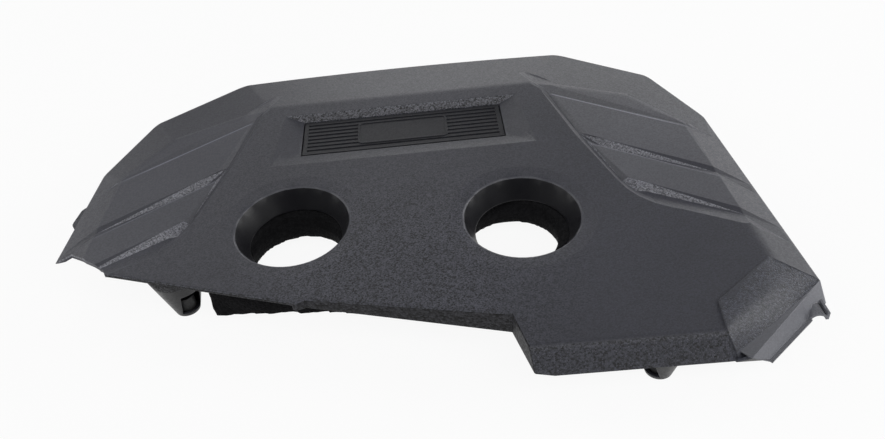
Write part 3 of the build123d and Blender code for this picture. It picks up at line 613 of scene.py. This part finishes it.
# %% Places of the regions, in metres
CUPS = ((-0.18298, -0.0751), (0.16052, -0.1831), (-0.10348, 0.1539), (0.09652, 0.1539))
CUP_REACH = 0.0225
CUP_TOP = 0.034
COLLAR_REACH = 0.0485
RIM = (0.0430, 0.0480)
PAD_BACK = (Vector((0.20132, -0.1713)), Vector((0.24782, -0.1319)))
PAD_FRONT = (Vector((0.21222, -0.2049)), Vector((0.27972, -0.148)))
PAD_LEFT = 0.2010
LEDGE_TOP = 0.034
STEP_BACK = -0.13
SKIRT_BACK = -0.09
RECESS_HALF = 0.1120
RECESS = (0.0230, 0.1010)
TAIL = (0.105, 0.155)
TAIL_FRONT = 0.095
TAIL_BOTTOM = 0.050

# %% Ways that the facets face
# Each limit is the x, y or z part of a facet's normal. The front of the cover faces -y.
RIM_Z = (0.6, 0.93)
COLLAR_Z = 0.7
WALL_Z = 0.3
UNDERSIDE_Z = -0.35
PAD_SIDE_XY = (0.25, -0.2)
LEDGE_Z = 0.98
RAIL_X = 0.3
GROOVE_Y = -0.3
WING_Z = 0.97
BAND_Y = -0.15
RECESS_Y = -0.4
STEP_X = -0.5
SKIRT_Y = -0.45
SKIRT_Z = 0.2
SLOPE_Y = 0.05
SLOPE_X = 0.2


# %% Finish of each facet
def ahead_of(point, line):
    """Whether a plan point lies in front of a line from left to right."""
    along = line[1] - line[0]
    across = point - line[0]
    return along.x * across.y - along.y * across.x < 0


def region(centre, normal):
    """Which finish a facet of the cover has, many with painted light or shade by which way it faces."""
    plan = centre.xy
    from_opening = nearest(centre, OPENINGS)
    if RIM[0] < from_opening < RIM[1] and RIM_Z[0] < normal.z < RIM_Z[1]:
        return rim_bevel_painted_highlight
    in_collar = from_opening < COLLAR_REACH and normal.z < COLLAR_Z
    in_cup = nearest(centre, CUPS) < CUP_REACH and centre.z < CUP_TOP and normal.z < WALL_Z
    if in_collar or in_cup or normal.z < UNDERSIDE_Z:
        return satin_painted_shade
    if plan.x > PAD_LEFT and ahead_of(plan, PAD_BACK):
        if normal.x > PAD_SIDE_XY[0] and normal.y > PAD_SIDE_XY[1]:
            return fine_skin
        if centre.z < LEDGE_TOP and normal.z > LEDGE_Z:
            return apron_ledge_painted_sheen
        return apron_painted_sheen if ahead_of(plan, PAD_FRONT) else pad_skin
    aside = abs(plan.x - WING_MIDDLE)
    in_tail = TAIL[0] < aside < TAIL[1] and plan.y > TAIL_FRONT and centre.z > TAIL_BOTTOM
    if in_tail and abs(normal.z) < WALL_Z:
        return tail_wall_painted_light
    if on_wing(centre):
        if normal.z < WALL_Z or (abs(normal.x) > RAIL_X and normal.y > GROOVE_Y):
            return rail_painted_light
        if normal.y < GROOVE_Y:
            return groove_wall_painted_light
        if normal.z > WING_Z:
            return band_painted_sheen if normal.y < BAND_Y else wing_painted_sheen
        return fine_skin
    if aside < RECESS_HALF and RECESS[0] < plan.y < RECESS[1] and normal.y < RECESS_Y:
        return recess_wall_painted_light
    if normal.x < STEP_X and plan.y < STEP_BACK:
        return painted_shade_wall
    if normal.y < SKIRT_Y and plan.y < SKIRT_BACK:
        return painted_shade_wall if normal.z < SKIRT_Z else coarse_skin
    return fine_skin if normal.y > SLOPE_Y or abs(normal.x) > SLOPE_X else grained_skin


for facet in cover.data.polygons:
    facet.material_index = cover_finishes.index(region(facet.center, facet.normal))
for index, material in enumerate(cover_finishes):
    print(material.name, sum(facet.material_index == index for facet in cover.data.polygons), "facets")

# %% [markdown]
# ## The foam
# The foam under the cover is cut from a block, so its faces are open cells and its edges are ragged. A
# voxel remesh of the CAD solid gives an even skin of small quads, and noise pulls them inwards by up
# to about 4 mm. The holes under the openings are punched, so their walls are smoothed instead, and
# they stand 2 mm further into the hole than those of the solid.

# %% Foam piece
FOAM_VOXEL = 3.0 * MILLIMETRE
FOAM_SKIN = 0.3 * MILLIMETRE
TEAR = 2.6 * MILLIMETRE
TEAR_LENGTH = 9.0 * MILLIMETRE
CELL = 0.9 * MILLIMETRE
CELL_LENGTH = 3.2 * MILLIMETRE
CELL_SHIFT = Vector((3.1, 1.7, 5.3))
CUT_REACH = 0.050
CUT_TOP = 0.026
CUT_SMOOTHING = 8
CUT_FACTOR = 0.5
CUT_BULGE = 2.0 * MILLIMETRE

block = merged_copy("foam_pad", "foam_block")
remesh = block.modifiers.new("even_quads", "REMESH")
remesh.mode = "VOXEL"
remesh.voxel_size = FOAM_VOXEL
bpy.context.view_layer.update()
evaluated = block.evaluated_get(bpy.context.evaluated_depsgraph_get())
foam_mesh = bpy.data.meshes.new_from_object(evaluated)
foam_mesh.name = "acoustic_foam"
bpy.data.objects.remove(block)
print("foam", len(foam_mesh.polygons), "quads")


# %% Torn skin and punched holes
def punched(corner):
    """Whether a corner is on the wall of a hole under one of the openings, below the collar."""
    return nearest(corner.co, OPENINGS) < CUT_REACH and corner.co.z < CUT_TOP


def torn(point):
    """How deep the torn skin lies at a point: broad tears and small cells."""
    tear = noise.noise(point / TEAR_LENGTH) * 0.5 + 0.5
    cell = noise.noise(point / CELL_LENGTH + CELL_SHIFT) * 0.5 + 0.5
    return FOAM_SKIN + TEAR * tear * tear + CELL * cell


foam_form = bmesh.new()
foam_form.from_mesh(foam_mesh)
cut = [corner for corner in foam_form.verts if punched(corner)]
for step in range(CUT_SMOOTHING):
    bmesh.ops.smooth_vert(
        foam_form, verts=cut, factor=CUT_FACTOR, use_axis_x=True, use_axis_y=True, use_axis_z=False
    )
foam_form.normal_update()
moves = []
for corner in foam_form.verts:
    if punched(corner):
        moves.append(CUT_BULGE * Vector((corner.normal.x, corner.normal.y, 0.0)))
    else:
        moves.append(-torn(corner.co) * corner.normal)
for corner, move in zip(foam_form.verts, moves):
    corner.co += move
foam_form.to_mesh(foam_mesh)
foam_form.free()
foam_mesh.shade_smooth()
foam_mesh.materials.clear()
foam_mesh.materials.append(open_foam)
foam = bpy.data.objects.new("acoustic_foam", foam_mesh)
bpy.context.scene.collection.objects.link(foam)
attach(foam, "root")
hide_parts("foam_pad")
print("furthest move", round(max(move.length for move in moves) / MILLIMETRE, 1), "mm")

# %% [markdown]
# ## The size
# The dressed cover keeps the size of its solids, and the box of all the shown pieces is printed.

# %% Sizes
low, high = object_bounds()
print("size in metres", [round(top - bottom, 4) for bottom, top in zip(low, high)])
